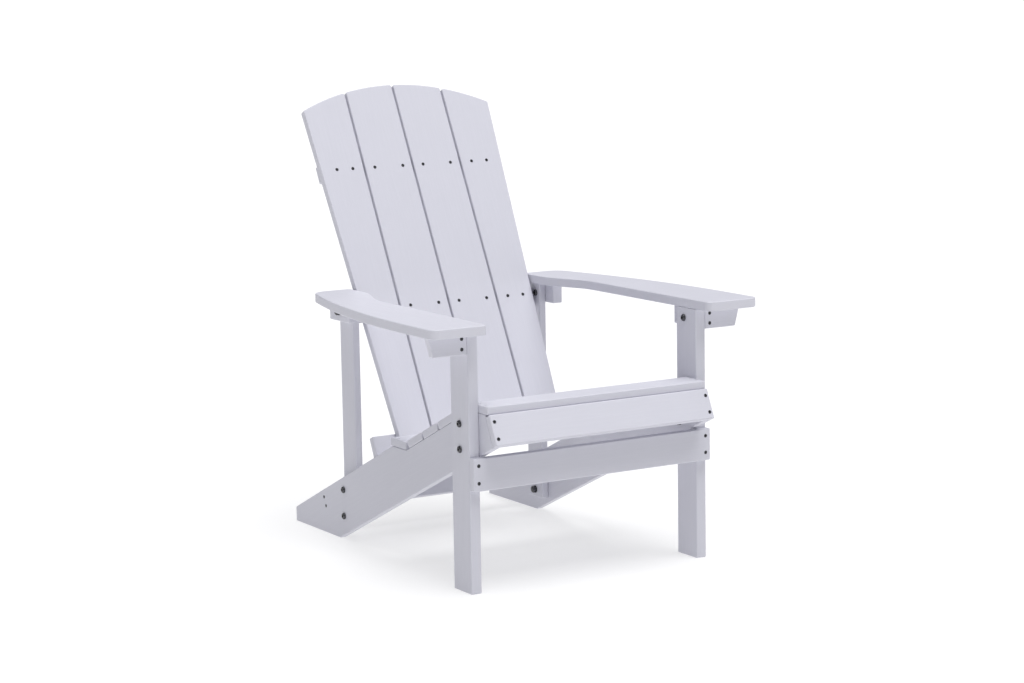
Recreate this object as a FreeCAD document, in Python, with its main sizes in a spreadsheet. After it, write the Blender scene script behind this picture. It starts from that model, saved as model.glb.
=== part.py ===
"""Slatted garden armchair with a raked seat and a reclined fan back, built from plank stock.

Frame: +Z up, the sitter faces -Y, X = 0 is the middle of the chair and Z = 0 the ground.
The pieces are laid out with Y = 0 at the front face of the front legs, and written with the
origin under the middle of the chair. "left" is the -X side and "right" the +X side.
The right-hand pieces are modelled and the left-hand ones are their mirror images.
"""
import FreeCAD, Part
import os
import Sketcher

VECTOR = FreeCAD.Vector
SLOPE_SLATS = 4                    # seat slats that lie on the raked part of the stringers
CORNER_SHARE = 2 / 3 ** 0.5        # a hexagon's width across its corners to that across its flats
DRIVE_SHARE = 0.7                  # fastener's recess to the radius of its head
DOME_SHARE = 0.7                   # rounding of a bolt's head to its height
SOCKET_SHARE = 0.65                # depth of a bolt's socket to the height of its head
OVERRUN = 1.0                      # how far a cutting tool passes the wood, mm
TOUCH = 0.01                       # distance at which an edge counts as lying on a place, mm
PARALLEL = 1e-6                    # sine below which two directions count as parallel
OUTWARDS = VECTOR(1, 0, 0)
INWARDS = VECTOR(-1, 0, 0)
REARWARDS = VECTOR(0, 1, 0)
UPWARDS = VECTOR(0, 0, 1)

# Rows of screws, as shares of the board's width or length.
APRON_ROWS = (0.25, 0.78)
NOSE_ROWS = (0.216, 0.765)
STRIP_ROWS = (0.24, 0.76)
BRACKET_ROWS = (0.27, 0.76)
FRONT_BLOCK_ROWS = (0.4, 0.86)
REAR_BLOCK_ROWS = (0.16, 0.84)
LEVEL_SLAT_ROWS = (0.33, 0.67)
RAKED_SLAT_ROWS = (0.22, 0.78)
INNER_SLAT_COLUMNS = (0.2, 0.8)
OUTER_SLAT_COLUMNS = (0.34, 0.84)
POST_BOLT_ROWS = (0.164, 0.722)    # between the post's foot and the stringer's upper edge

# Driving sizes in millimetres and degrees: alias, value, meaning.
SIZES = (
    ("plank_thick", 16, "thickness of slats, stringers, posts, rails and apron"),
    ("plank_width", 113, "width of the inner back slats"),
    ("board_width", 64, "width of seat slats and apron"),
    ("leg_width", 67, "width of the front legs"),
    ("post_width", 57, "width of the rear posts"),
    ("seat_rail_width", 42, "width of the seat back rail"),
    ("strip_width", 38, "width of the back rails and the stretcher"),
    ("stringer_width", 113, "width of the stringer plank"),
    ("leg_thick", 23, "thickness of the front legs and the arm blocks"),
    ("arm_thick", 19, "thickness of the arms"),
    ("edge_round", 2.4, "radius that eases the edges of every board"),
    ("frame_width", 503, "width over the stringers' outer faces"),
    ("seat_height", 367, "height of the front seat slat's top"),
    ("seat_overhang", 32.5, "front seat slat ahead of the legs"),
    ("rake", 24.5, "fall of the seat towards the back"),
    ("seat_gap", 4, "gap between seat slats"),
    ("rebate", 23, "depth of the seat bed below the stringer's own upper edge"),
    ("nose_setback", 11, "stringer's front top corner behind the front seat slat's edge"),
    ("nose_gap", 0.6, "nose slat's upper edge below the front seat slat"),
    ("heel_rise", 31.07, "height of the stringers' upper edge at their rear end"),
    ("apron_gap", 0.86, "apron's upper edge below the stringers"),
    ("arm_height", 525, "height of the arms' top"),
    ("arm_overhang", 44, "arms ahead of the legs"),
    ("arm_tail", 4, "rear posts' back edge behind the arms' end"),
    ("arm_wing", 100.5, "arm's outer edge beyond the leg"),
    ("arm_setback", 0.5, "arm's inner edge outside the stringer's outer face"),
    ("heel_gap", 3.8, "arm's inner edge at its rear end beyond the outer back slat"),
    ("tip_reach", 63, "arm's outer line at its rear end beyond the post"),
    ("arm_sweep", 240, "length over which the outer edge starts to curve in"),
    ("arm_turn", 281, "corner of the outer edge's two lines ahead of the rear end"),
    ("heel_length", 88, "straight part of the inner edge at the rear"),
    ("heel_blend", 100, "length over which the inner edge steps in"),
    ("heel_bend", 150, "radius of the two bends in that step"),
    ("front_outer_corner", 18, "radius of the arm's outer front corner"),
    ("front_inner_corner", 15, "radius of the arm's inner front corner"),
    ("rear_outer_corner", 36, "radius of the arm's outer rear corner"),
    ("rear_inner_corner", 10, "radius of the arm's inner rear corner"),
    ("block_height", 41, "height of the arm blocks"),
    ("block_length", 92, "length of the front arm blocks"),
    ("block_advance", 30, "rear arm block ahead of the post"),
    ("bracket_reach", 85, "length of the arm bracket along its top"),
    ("bracket_slant", 11, "length that the bracket loses at its lower edge"),
    ("recline", 27.1, "lean of the back from upright"),
    ("back_set", 97, "seat back rail's rear corner behind the end of the seat bed"),
    ("seat_rail_inset", 3, "seat back rail's ends inside the stringers' outer faces"),
    ("rail_gap", 0.3, "clearance between the back slats and the seat back rail"),
    ("foot_drop", 30, "back slats' feet below the top of the seat back rail"),
    ("back_length", 802.5, "length of the back from its feet to its crown"),
    ("crown_radius", 532, "radius of the back's rounded top"),
    ("crown_corner", 4.5, "radius of the back slats' upper corners"),
    ("slat_gap", 4.5, "gap between back slats"),
    ("outer_foot", 75.8, "width of an outer back slat at its foot"),
    ("outer_head", 106.5, "width of an outer back slat at its head"),
    ("upper_rail_drop", 189, "upper back rail's middle below the crown"),
    ("rail_inset", 3.2, "upper back rail's end inside the outer slat's edge"),
    ("lower_rail_drop", 31.5, "lower back rail's middle below the arms"),
    ("post_lead", 1.5, "rear post's middle ahead of the lower rail's middle"),
    ("post_foot", 34, "height of the rear posts' lower end"),
    ("stretcher_inset", 25.3, "stretcher's middle below the stringer's upper edge"),
    ("stretcher_set", 128.5, "stretcher ahead of the stringers' rear end"),
    ("frame_screw", 40, "length of the frame's screws"),
    ("seat_screw", 32, "length of the seat slats' screws"),
    ("rail_bite", 35, "depth that the seat back rail's screws enter the stringers"),
    ("back_cover", 3, "wood left behind the back slats' screws"),
    ("arm_cover", 6, "wood left above the arm blocks' screws"),
    ("screw_radius", 2, "radius of a screw's shank"),
    ("screw_head", 3.6, "radius of a screw's head"),
    ("screw_rim", 0.8, "thickness of the head above its cone"),
    ("screw_point", 0.3, "radius of a screw's blunted point"),
    ("screw_recess", 1.5, "depth of the square recess in a screw's head"),
    ("screw_sink", 0.4, "depth of a screw's head below the surface"),
    ("leg_bolt_set", 34, "legs' bolts behind the legs' front face"),
    ("leg_bolt_low", 26.5, "lower leg bolt above the stringer's lower edge"),
    ("leg_bolt_high", 23, "upper leg bolt below the seat bed"),
    ("leg_block_bolt", 41, "front arm block's bolt behind the leg's front face"),
    ("post_block_bolt", 15, "rear arm block's bolt behind the post's front edge"),
    ("bolt_radius", 4, "radius of a bolt's shank"),
    ("bolt_head", 7, "radius of a bolt's button head"),
    ("bolt_head_height", 4.4, "height of a bolt's button head"),
    ("nut_across", 13, "nut's width across its flats"),
    ("nut_thick", 6.5, "thickness of a nut"),
    ("washer_radius", 8, "radius of a washer"),
    ("washer_thick", 1.6, "thickness of a washer"),
    ("bolt_tail", 1.5, "bolt's end beyond its nut"),
    ("bolt_chamfer", 0.8, "chamfer round a bolt's end"),
    ("nut_chamfer", 0.9, "height of a nut's chamfer"),
    ("nut_bevel", 1.4, "width of a nut's chamfer at its corners"),
    ("fit_gap", 0.2, "clearance round a fastener in its hole"),
)

# Places that follow from the sizes: alias and formula. "u" and "w" stand for rake and recline.
PLACES = (
    ("frame_half", "Sizes.frame_width / 2"),
    ("inner_face", "frame_half - Sizes.plank_thick"),
    ("leg_face", "frame_half + Sizes.leg_thick"),
    ("post_face", "inner_face - Sizes.plank_thick"),
    ("sin_u", "sin(Sizes.rake * 1 deg)"),
    ("cos_u", "cos(Sizes.rake * 1 deg)"),
    ("tan_u", "sin_u / cos_u"),
    ("sin_w", "sin(Sizes.recline * 1 deg)"),
    ("cos_w", "cos(Sizes.recline * 1 deg)"),
    ("seat_bed", "Sizes.seat_height - Sizes.plank_thick"),
    ("seat_front", "-Sizes.seat_overhang"),
    ("knee_y", "Sizes.board_width - Sizes.seat_overhang + Sizes.seat_gap / 2"),
    ("slat_run", f"Sizes.seat_gap / 2 + {SLOPE_SLATS} * Sizes.board_width"
                 f" + {SLOPE_SLATS - 1} * Sizes.seat_gap"),
    ("bed_run", "slat_run + (Sizes.plank_thick * sin_u + Sizes.seat_gap) / cos_u"),
    ("hollow_y", "knee_y + bed_run * cos_u"),
    ("hollow_z", "seat_bed - bed_run * sin_u"),
    ("deck_y", "hollow_y + Sizes.rebate / sin_u"),
    ("under_bed", "(Sizes.stringer_width - Sizes.rebate) / cos_u"),
    ("foot_y", "knee_y + (seat_bed - under_bed) / tan_u"),
    ("nose_y", "seat_front + Sizes.nose_setback"),
    ("nose_drop", "cos_u * cos_u * (under_bed - (knee_y - nose_y) * tan_u)"),
    ("chin_y", "nose_y - nose_drop * tan_u"),
    ("chin_z", "seat_bed - nose_drop"),
    ("nose_width", "cos_u * (nose_drop - Sizes.nose_gap - (chin_y - seat_front) * tan_u)"),
    ("stringer_end", "knee_y + (seat_bed + Sizes.rebate / cos_u - Sizes.heel_rise) / tan_u"),
    ("apron_bottom", "seat_bed - under_bed + knee_y * tan_u - Sizes.board_width - Sizes.apron_gap"),
    ("rail_y", "deck_y + (Sizes.back_set - Sizes.plank_thick) * cos_u"),
    ("rail_z", "hollow_z - (Sizes.back_set - Sizes.plank_thick) * sin_u"),
    ("rail_top_y", "rail_y + Sizes.seat_rail_width * sin_u"),
    ("rail_top_z", "rail_z + Sizes.seat_rail_width * cos_u"),
    ("rail_clear", "Sizes.rail_gap"
                   " + max(0; Sizes.foot_drop * sin((Sizes.rake - Sizes.recline) * 1 deg))"),
    ("slat_rear", "Sizes.plank_thick + rail_clear"),
    ("back_y", "rail_top_y - (rail_top_z * sin_w + slat_rear) / cos_w"),
    ("back_foot", "(rail_top_z + slat_rear * sin_w) / cos_w - Sizes.foot_drop"),
    ("crown", "back_foot + Sizes.back_length"),
    ("crown_centre", "crown - Sizes.crown_radius"),
    ("upper_rail", "crown - Sizes.upper_rail_drop"),
    ("arm_under", "Sizes.arm_height - Sizes.arm_thick"),
    ("lower_rail", "(arm_under - Sizes.lower_rail_drop + 1.5 * Sizes.plank_thick * sin_w) / cos_w"),
    ("lower_rail_y", "back_y + lower_rail * sin_w + 1.5 * Sizes.plank_thick * cos_w"),
    ("post_y", "lower_rail_y - Sizes.post_lead - Sizes.post_width / 2"),
    ("post_length", "arm_under - Sizes.post_foot"),
    ("arm_outer", "leg_face + Sizes.arm_wing"),
    ("arm_inner", "frame_half + Sizes.arm_setback"),
    ("arm_tip", "inner_face + Sizes.tip_reach"),
    ("arm_front", "-Sizes.arm_overhang"),
    ("arm_end", "post_y + Sizes.post_width - Sizes.arm_tail"),
    ("arm_turn_y", "arm_end - Sizes.arm_turn"),
    ("arm_bend", "atan((arm_outer - arm_tip) / Sizes.arm_turn)"),
    ("arm_curve", "Sizes.arm_sweep / tan(arm_bend / 2)"),
    ("heel_y", "arm_end - Sizes.heel_length"),
    ("waist_y", "heel_y - Sizes.heel_blend"),
    ("block_z", "arm_under - Sizes.block_height"),
    ("rear_block_y", "post_y - Sizes.block_advance"),
    ("rear_block_length", "Sizes.post_width + Sizes.block_advance"),
    ("bracket_tip", "leg_face + Sizes.bracket_reach"),
    ("bracket_toe", "bracket_tip - Sizes.bracket_slant"),
    ("inner_slat_near", "Sizes.slat_gap / 2"),
    ("inner_slat_far", "inner_slat_near + Sizes.plank_width"),
    ("outer_slat_near", "inner_slat_far + Sizes.slat_gap"),
    ("outer_slat_toe", "outer_slat_near + Sizes.outer_foot"),
    ("outer_slat_head", "outer_slat_near + Sizes.outer_head"),
    ("seat_rail_half", "frame_half - Sizes.seat_rail_inset"),
    ("seat_rail_span", "2 * seat_rail_half"),
    ("inner_span", "2 * inner_face"),
    ("post_span", "2 * post_face"),
    ("apron_span", "2 * leg_face"),
    ("slat_splay", "(Sizes.outer_head - Sizes.outer_foot) / Sizes.back_length"),
    ("arm_heel", "outer_slat_toe + (Sizes.arm_height / cos_w - back_foot) * slat_splay"
                 " + Sizes.heel_gap"),
    ("upper_rail_half", "outer_slat_toe + (upper_rail - back_foot) * slat_splay - Sizes.rail_inset"),
    ("upper_rail_span", "2 * upper_rail_half"),
    ("back_screw", "2 * Sizes.plank_thick - Sizes.back_cover"),
    ("arm_screw", "Sizes.block_height + Sizes.arm_thick - Sizes.arm_cover"),
    ("rail_screw", "Sizes.seat_rail_width + Sizes.rail_bite"),
)

doc = FreeCAD.newDocument("garden_armchair")
HOLES = {}             # board's label: tools that cut its holes
NODES = {}             # node's name: its object


# ---------------------------------------------------------------- sheets and small helpers

def fill_sheets():
    """Write the driving sizes and the places worked out from them into two spreadsheets."""
    sizes = doc.addObject("Spreadsheet::Sheet", "Sizes")
    for row, (alias, value, meaning) in enumerate(SIZES, start=1):
        sizes.set(f"A{row}", meaning)
        sizes.set(f"B{row}", str(value))
        sizes.setAlias(f"B{row}", alias)
    doc.recompute()
    places = doc.addObject("Spreadsheet::Sheet", "Places")
    for row, (alias, formula) in enumerate(PLACES, start=1):
        places.set(f"B{row}", "=" + formula)
        places.setAlias(f"B{row}", alias)
    doc.recompute()
    return sizes, places


SHEETS = fill_sheets()


def val(alias):
    """Value of a size or place as a plain number."""
    for sheet in SHEETS:
        if sheet.getCellFromAlias(alias):
            number = sheet.get(alias)
            return float(getattr(number, "Value", number))
    raise KeyError(alias)


def link(alias):
    """Expression that points at a size or place."""
    return ("Sizes." if SHEETS[0].getCellFromAlias(alias) else "Places.") + alias


def along(point, distance, tilt):
    """Point moved by distance down a line that falls to the rear at tilt degrees."""
    return point + FreeCAD.Rotation(VECTOR(1, 0, 0), -tilt).multVec(VECTOR(0, distance, 0))


def up(point, distance, tilt):
    """Point moved by distance at right angles to that line."""
    return point + FreeCAD.Rotation(VECTOR(1, 0, 0), -tilt).multVec(VECTOR(0, 0, distance))


def leaning(point, tilt):
    """Placement at point, with its upright leaning to the rear by tilt degrees."""
    return FreeCAD.Placement(point, FreeCAD.Rotation(VECTOR(1, 0, 0), -tilt))


def ease(body, radius, edges=None):
    """Round the given edges of a body's last feature, or all of them."""
    doc.recompute()
    base = body.Tip
    fillet = body.newObject("PartDesign::Fillet", "Ease")
    fillet.Base = (base, edges or [f"Edge{n + 1}" for n in range(len(base.Shape.Edges))])
    fillet.setExpression("Radius", link(radius))
    body.Tip = fillet
    doc.recompute()
    return fillet


def edges_along(shape, axis, near):
    """Names of the straight edges along axis that pass through the given point."""
    names = []
    for number, edge in enumerate(shape.Edges, start=1):
        run = edge.Vertexes[-1].Point - edge.Vertexes[0].Point
        offset = edge.Vertexes[0].Point - near
        if run.cross(axis).Length <= PARALLEL * run.Length and offset.cross(axis).Length < TOUCH:
            names.append(f"Edge{number}")
    return names


def face_loop_edges(shape, axis):
    """Names of the edges that bound the two flat faces square to axis."""
    flat = [face for face in shape.Faces if face.Surface.TypeId == "Part::GeomPlane"]
    ends = [face for face in flat if face.normalAt(0, 0).cross(axis).Length < PARALLEL]
    ends = sorted(ends, key=lambda face: face.Area)[-2:]
    names = []
    for number, edge in enumerate(shape.Edges, start=1):
        if any(edge.isSame(other) for face in ends for other in face.Edges):
            names.append(f"Edge{number}")
    return names


def box_board(label, sizes, placement):
    """Straight board: three linked sizes along its own X, Y and Z, centred on X, with eased edges."""
    body = doc.addObject("PartDesign::Body", label)
    blank = body.newObject("PartDesign::AdditiveBox", "Blank")
    for name, size in zip(("Length", "Width", "Height"), sizes):
        blank.setExpression(name, link(size))
    body.Tip = blank
    ease(body, "edge_round")
    body.Placement = placement
    return body


def sketch_on(body, role):
    """Empty sketch on one of the body's own origin planes."""
    sketch = body.newObject("Sketcher::SketchObject", "Outline")
    plane = [feature for feature in body.Origin.OriginFeatures if feature.Role == role][0]
    sketch.AttachmentSupport = (plane, [""])
    sketch.MapMode = "FlatFace"
    return sketch


def hold(sketch, geometry, vertex, places):
    """Tie a sketch point to two linked values, its distances from the sketch's origin."""
    for kind, place in zip(("DistanceX", "DistanceY"), places):
        if place == 0:
            axis = -2 if kind == "DistanceX" else -1
            sketch.addConstraint(Sketcher.Constraint("PointOnObject", geometry, vertex, axis))
            continue
        number = sketch.addConstraint(
            Sketcher.Constraint(kind, -1, 1, geometry, vertex, val(place)))
        sketch.setExpression(f"Constraints[{number}]", link(place))


def polygon(sketch, corners):
    """Closed outline whose corners are pairs of linked values."""
    points = [VECTOR(*[val(place) if place else 0.0 for place in corner], 0) for corner in corners]
    count = len(points)
    for number, point in enumerate(points):
        sketch.addGeometry(Part.LineSegment(point, points[(number + 1) % count]))
    for number in range(count):
        follower = (number + 1) % count
        sketch.addConstraint(Sketcher.Constraint("Coincident", number, 2, follower, 1))
    for number, corner in enumerate(corners):
        hold(sketch, number, 1, corner)


def pad(body, sketch, thickness, rearwards=False):
    """Thicken a sketch by a linked size."""
    feature = body.newObject("PartDesign::Pad", "Board")
    feature.Profile = sketch
    feature.setExpression("Length", link(thickness))
    feature.Reversed = rearwards
    body.Tip = feature
    doc.recompute()
    return feature


# ---------------------------------------------------------------- fasteners

def screw_shape(length):
    """Countersunk screw with a square recess; its axis is +Z into the wood, Z = 0 the surface."""
    sink, head, shank = val("screw_sink"), val("screw_head"), val("screw_radius")
    cone = sink + val("screw_rim")
    neck = cone + head - shank
    tip = length - 2 * shank
    solid = Part.makeCylinder(head, cone - sink, VECTOR(0, 0, sink))
    solid = solid.fuse(Part.makeCone(head, shank, neck - cone, VECTOR(0, 0, cone)))
    solid = solid.fuse(Part.makeCylinder(shank, tip - neck, VECTOR(0, 0, neck)))
    solid = solid.fuse(Part.makeCone(shank, val("screw_point"), length - tip, VECTOR(0, 0, tip)))
    drive = DRIVE_SHARE * head
    recess = Part.makeBox(drive, drive, sink + val("screw_recess"), VECTOR(-drive / 2, -drive / 2, 0))
    return solid.cut(recess).removeSplitter()


def screw_hole(length):
    """Drilled and countersunk hole for a screw of the given length."""
    sink, gap = val("screw_sink"), val("fit_gap")
    head, shank = val("screw_head") + gap, val("screw_radius") + gap
    cone = sink + val("screw_rim")
    neck = cone + head - shank
    tool = Part.makeCylinder(head, cone + OVERRUN, VECTOR(0, 0, -OVERRUN))
    tool = tool.fuse(Part.makeCone(head, shank, neck - cone, VECTOR(0, 0, cone)))
    return tool.fuse(Part.makeCylinder(shank, length + 2 * gap - neck, VECTOR(0, 0, neck)))


def hexagon(across, height, base):
    """Upright hexagonal prism."""
    corners = [VECTOR(across / 2 * CORNER_SHARE, 0, base)]
    turn = FreeCAD.Rotation(VECTOR(0, 0, 1), 60)
    for _ in range(6):
        corners.append(turn.multVec(corners[-1]))
    corners[-1] = corners[0]
    return Part.Face(Part.makePolygon(corners)).extrude(VECTOR(0, 0, height))


def bolt_shape(grip):
    """Button-head bolt with a hexagon socket; Z = 0 is the surface that its head bears on."""
    head, rise, shank = val("bolt_head"), val("bolt_head_height"), val("bolt_radius")
    dome = Part.makeCylinder(head, rise, VECTOR(0, 0, -rise))
    top = [edge for edge in dome.Edges if edge.BoundBox.ZMax < TOUCH - rise]
    dome = dome.makeFillet(DOME_SHARE * rise, top)
    dome = dome.cut(hexagon(DRIVE_SHARE * head, SOCKET_SHARE * rise, -rise))
    length = grip + val("washer_thick") + val("nut_thick") + val("bolt_tail")
    rod = Part.makeCylinder(shank, length)
    rim = [edge for edge in rod.Edges if edge.BoundBox.ZMin > length - TOUCH]
    return dome.fuse(rod.makeChamfer(val("bolt_chamfer"), rim)).removeSplitter()


def bolt_hole(grip):
    """Clearance hole for a bolt through boards of the given thickness in all."""
    radius = val("bolt_radius") + val("fit_gap")
    return Part.makeCylinder(radius, grip + 2 * OVERRUN, VECTOR(0, 0, -OVERRUN))


def washer_shape(grip):
    """Flat washer on the far face of the clamped boards."""
    ring = Part.makeCylinder(val("washer_radius"), val("washer_thick"), VECTOR(0, 0, grip))
    return ring.cut(bolt_hole(grip + val("washer_thick")))


def nut_shape(grip):
    """Hexagon nut with chamfered corners, on its washer."""
    base, tall, across = grip + val("washer_thick"), val("nut_thick"), val("nut_across")
    corner, shoulder = across / 2 * CORNER_SHARE, tall - val("nut_chamfer")
    cap = Part.makeCone(corner, corner - val("nut_bevel"), tall - shoulder, VECTOR(0, 0, base + shoulder))
    turned = Part.makeCylinder(corner, shoulder, VECTOR(0, 0, base)).fuse(cap)
    nut = hexagon(across, tall, base).common(turned)
    return nut.cut(bolt_hole(base + tall)).removeSplitter()


def at_sites(shape, sites):
    """Copies of a shape, each with its origin at a site's point and its +Z along its direction."""
    copies = []
    for point, direction in sites:
        copy = shape.copy()
        copy.Placement = FreeCAD.Placement(point, FreeCAD.Rotation(VECTOR(0, 0, 1), direction))
        copies.append(copy)
    return copies


def mirrored(sites):
    """The sites and their mirror images on the other side of the chair."""
    flip = [(VECTOR(-p.x, p.y, p.z), VECTOR(-d.x, d.y, d.z)) for p, d in sites]
    return list(sites) + flip


def drill(sites, tool, boards):
    """Note that each of the boards is drilled with the tool at the sites."""
    for board in boards:
        HOLES.setdefault(board, []).extend(at_sites(tool, sites))


def fastener_group(label, shape, sites):
    """Node that holds identical fasteners as separate solids."""
    group = doc.addObject("Part::Feature", label)
    group.Shape = Part.makeCompound(at_sites(shape, sites))
    NODES[label] = group


def screws(label, sites, length, boards, crossing=()):
    """Screws of a linked length at the sites and on the other side of the chair.

    Boards have a twin on the other side; crossing ones run across the chair.
    """
    drill(sites, screw_hole(val(length)), boards)
    drill(mirrored(sites), screw_hole(val(length)), crossing)
    fastener_group(label, screw_shape(val(length)), mirrored(sites))


def bolts(label, sites, grip, boards):
    """Bolts with washers and nuts at the sites and on the other side of the chair."""
    drill(sites, bolt_hole(grip), boards)
    everywhere = mirrored(sites)
    fastener_group(label + "_bolts", bolt_shape(grip), everywhere)
    fastener_group(label + "_washers", washer_shape(grip), everywhere)
    fastener_group(label + "_nuts", nut_shape(grip), everywhere)


# ---------------------------------------------------------------- frame

def stringer():
    """Raked side plank: seat bed and level hollow on top, flat foot on the ground."""
    body = doc.addObject("PartDesign::Body", "right_stringer")
    sketch = sketch_on(body, "YZ_Plane")
    polygon(sketch, (("nose_y", "seat_bed"), ("knee_y", "seat_bed"), ("hollow_y", "hollow_z"),
                     ("deck_y", "hollow_z"), ("stringer_end", "heel_rise"), ("stringer_end", 0),
                     ("foot_y", 0), ("chin_y", "chin_z")))
    pad(body, sketch, "plank_thick")
    ease(body, "edge_round", face_loop_edges(body.Tip.Shape, OUTWARDS))
    body.Placement.Base = VECTOR(val("inner_face"), 0, 0)
    return body


def leg():
    """Upright front leg outside the stringer."""
    return box_board("right_leg", ("leg_thick", "leg_width", "arm_under"),
                     leaning(VECTOR(val("frame_half"), 0, 0), 0))


def post():
    """Upright rear post inside the stringer."""
    return box_board("right_post", ("plank_thick", "post_width", "post_length"),
                     leaning(VECTOR(val("post_face"), val("post_y"), val("post_foot")), 0))


def apron():
    """Board across the fronts of the two legs."""
    place = VECTOR(-val("leg_face"), -val("plank_thick"), val("apron_bottom"))
    return box_board("front_apron", ("apron_span", "plank_thick", "board_width"), leaning(place, 0))


def stretcher_centre():
    """Middle of the stretcher's end on the YZ plane."""
    y = val("stringer_end") - val("stretcher_set")
    z = val("seat_bed") - (y - val("knee_y")) * val("tan_u") + val("rebate") / val("cos_u")
    return up(VECTOR(0, y, z), -val("stretcher_inset"), val("rake"))


def stretcher():
    """Strip between the stringers, near their feet."""
    rake = val("rake")
    corner = up(along(stretcher_centre(), -val("plank_thick") / 2, rake), -val("strip_width") / 2, rake)
    corner.x = -val("inner_face")
    return box_board("rear_stretcher", ("inner_span", "plank_thick", "strip_width"),
                     leaning(corner, rake))


# ---------------------------------------------------------------- seat

def seat_slat_corners():
    """Front lower corner and fall of each seat slat, from the front to the back."""
    rake, left = val("rake"), -val("frame_half")
    corners = [(VECTOR(left, val("seat_front"), val("seat_bed")), 0)]
    knee = VECTOR(left, val("knee_y"), val("seat_bed"))
    for number in range(SLOPE_SLATS):
        start = val("seat_gap") / 2 + number * (val("board_width") + val("seat_gap"))
        corners.append((along(knee, start, rake), rake))
    corners.append((VECTOR(left, val("hollow_y"), val("hollow_z")), 0))
    return corners


def seat_slats():
    """Front slat, the slats on the raked bed and the level slat in the hollow."""
    return [box_board(f"seat_slat_{number}", ("frame_width", "board_width", "plank_thick"),
                      leaning(corner, fall))
            for number, (corner, fall) in enumerate(seat_slat_corners(), start=1)]


def nose_corner():
    """Front lower corner of the nose slat."""
    chin = VECTOR(-val("frame_half"), val("chin_y"), val("chin_z"))
    return along(chin, -val("plank_thick"), val("rake"))


def nose_slat():
    """Slat on the square-cut front ends of the stringers."""
    return box_board("seat_nose_slat", ("frame_width", "plank_thick", "nose_width"),
                     leaning(nose_corner(), val("rake")))


def seat_back_rail():
    """Strip that stands on the stringers' upper edges, behind the back slats' feet."""
    place = VECTOR(-val("seat_rail_half"), val("rail_y"), val("rail_z"))
    return box_board("seat_back_rail", ("seat_rail_span", "plank_thick", "seat_rail_width"),
                     leaning(place, val("rake")))


# ---------------------------------------------------------------- back

def back_point(x, depth, reach):
    """Point of the back: across, behind the slats' front face, and up along the slats."""
    start = VECTOR(x, val("back_y"), 0)
    return up(along(start, depth, val("recline")), reach, val("recline"))


def back_slat(label, near, foot, head):
    """Slat from its foot to the crown's arc; foot and head are its far edge low and high."""
    body = doc.addObject("PartDesign::Body", label)
    sketch = sketch_on(body, "XZ_Plane")
    centre, radius = VECTOR(0, val("crown_centre"), 0), val("crown_radius")
    low = [VECTOR(val(x), val("back_foot"), 0) for x in (near, foot)]
    high = [VECTOR(val(x), centre.y + (radius ** 2 - val(x) ** 2) ** 0.5, 0) for x in (near, head)]
    middle = (high[0] + high[1]) / 2 - centre
    crest = centre + middle.normalize() * radius
    sketch.addGeometry(Part.LineSegment(high[0], low[0]))
    sketch.addGeometry(Part.LineSegment(low[0], low[1]))
    sketch.addGeometry(Part.LineSegment(low[1], high[1]))
    sketch.addGeometry(Part.Arc(high[1], crest, high[0]))
    for first, second in (((0, 2), (1, 1)), ((1, 2), (2, 1))):
        sketch.addConstraint(Sketcher.Constraint("Coincident", *first, *second))
    sketch.addConstraint(Sketcher.Constraint("Coincident", 2, 2, 3, 1))
    sketch.addConstraint(Sketcher.Constraint("Coincident", 0, 1, 3, 2))
    sketch.addConstraint(Sketcher.Constraint("PointOnObject", 3, 3, -2))
    hold(sketch, 1, 1, (near, "back_foot"))
    hold(sketch, 1, 2, (foot, "back_foot"))
    for kind, item, place in (("DistanceX", (0, 1), near), ("DistanceX", (2, 2), head),
                              ("DistanceY", (3, 3), "crown_centre")):
        number = sketch.addConstraint(Sketcher.Constraint(kind, -1, 1, *item, val(place)))
        sketch.setExpression(f"Constraints[{number}]", link(place))
    number = sketch.addConstraint(Sketcher.Constraint("Radius", 3, radius))
    sketch.setExpression(f"Constraints[{number}]", link("crown_radius"))
    pad(body, sketch, "plank_thick", rearwards=True)
    for radius, corners in (("crown_corner", high), ("edge_round", low)):
        for corner in corners:
            upright = VECTOR(corner.x, 0, corner.y)
            ease(body, radius, edges_along(body.Tip.Shape, REARWARDS, upright))
    ease(body, "edge_round", face_loop_edges(body.Tip.Shape, REARWARDS))
    body.Placement = leaning(VECTOR(0, val("back_y"), 0), val("recline"))
    return body


def back_rail(label, reach, span):
    """Strip behind the slats, centred at a reach along them."""
    corner = back_point(-val(span) / 2, val("plank_thick"), val(reach) - val("strip_width") / 2)
    return box_board(label, (span, "plank_thick", "strip_width"), leaning(corner, val("recline")))


# ---------------------------------------------------------------- arms

ARM_CORNERS = (("arm_outer", "arm_front", "front_outer_corner"),
               ("arm_outer", "arm_turn_y", "arm_curve"),
               ("arm_tip", "arm_end", "rear_outer_corner"),
               ("arm_heel", "arm_end", "rear_inner_corner"),
               ("arm_heel", "heel_y", "heel_bend"),
               ("arm_inner", "waist_y", "heel_bend"),
               ("arm_inner", "arm_front", "front_inner_corner"))


def arm():
    """Flat arm that narrows in a long curve towards the rear; corners take their own radii."""
    body = doc.addObject("PartDesign::Body", "right_arm")
    sketch = sketch_on(body, "XY_Plane")
    polygon(sketch, [(x, y) for x, y, _ in ARM_CORNERS])
    pad(body, sketch, "arm_thick")
    for x, y, radius in ARM_CORNERS:
        ease(body, radius, edges_along(body.Tip.Shape, UPWARDS, VECTOR(val(x), val(y), 0)))
    ease(body, "edge_round", face_loop_edges(body.Tip.Shape, UPWARDS))
    body.Placement.Base = VECTOR(0, 0, val("arm_under"))
    return body


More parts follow.
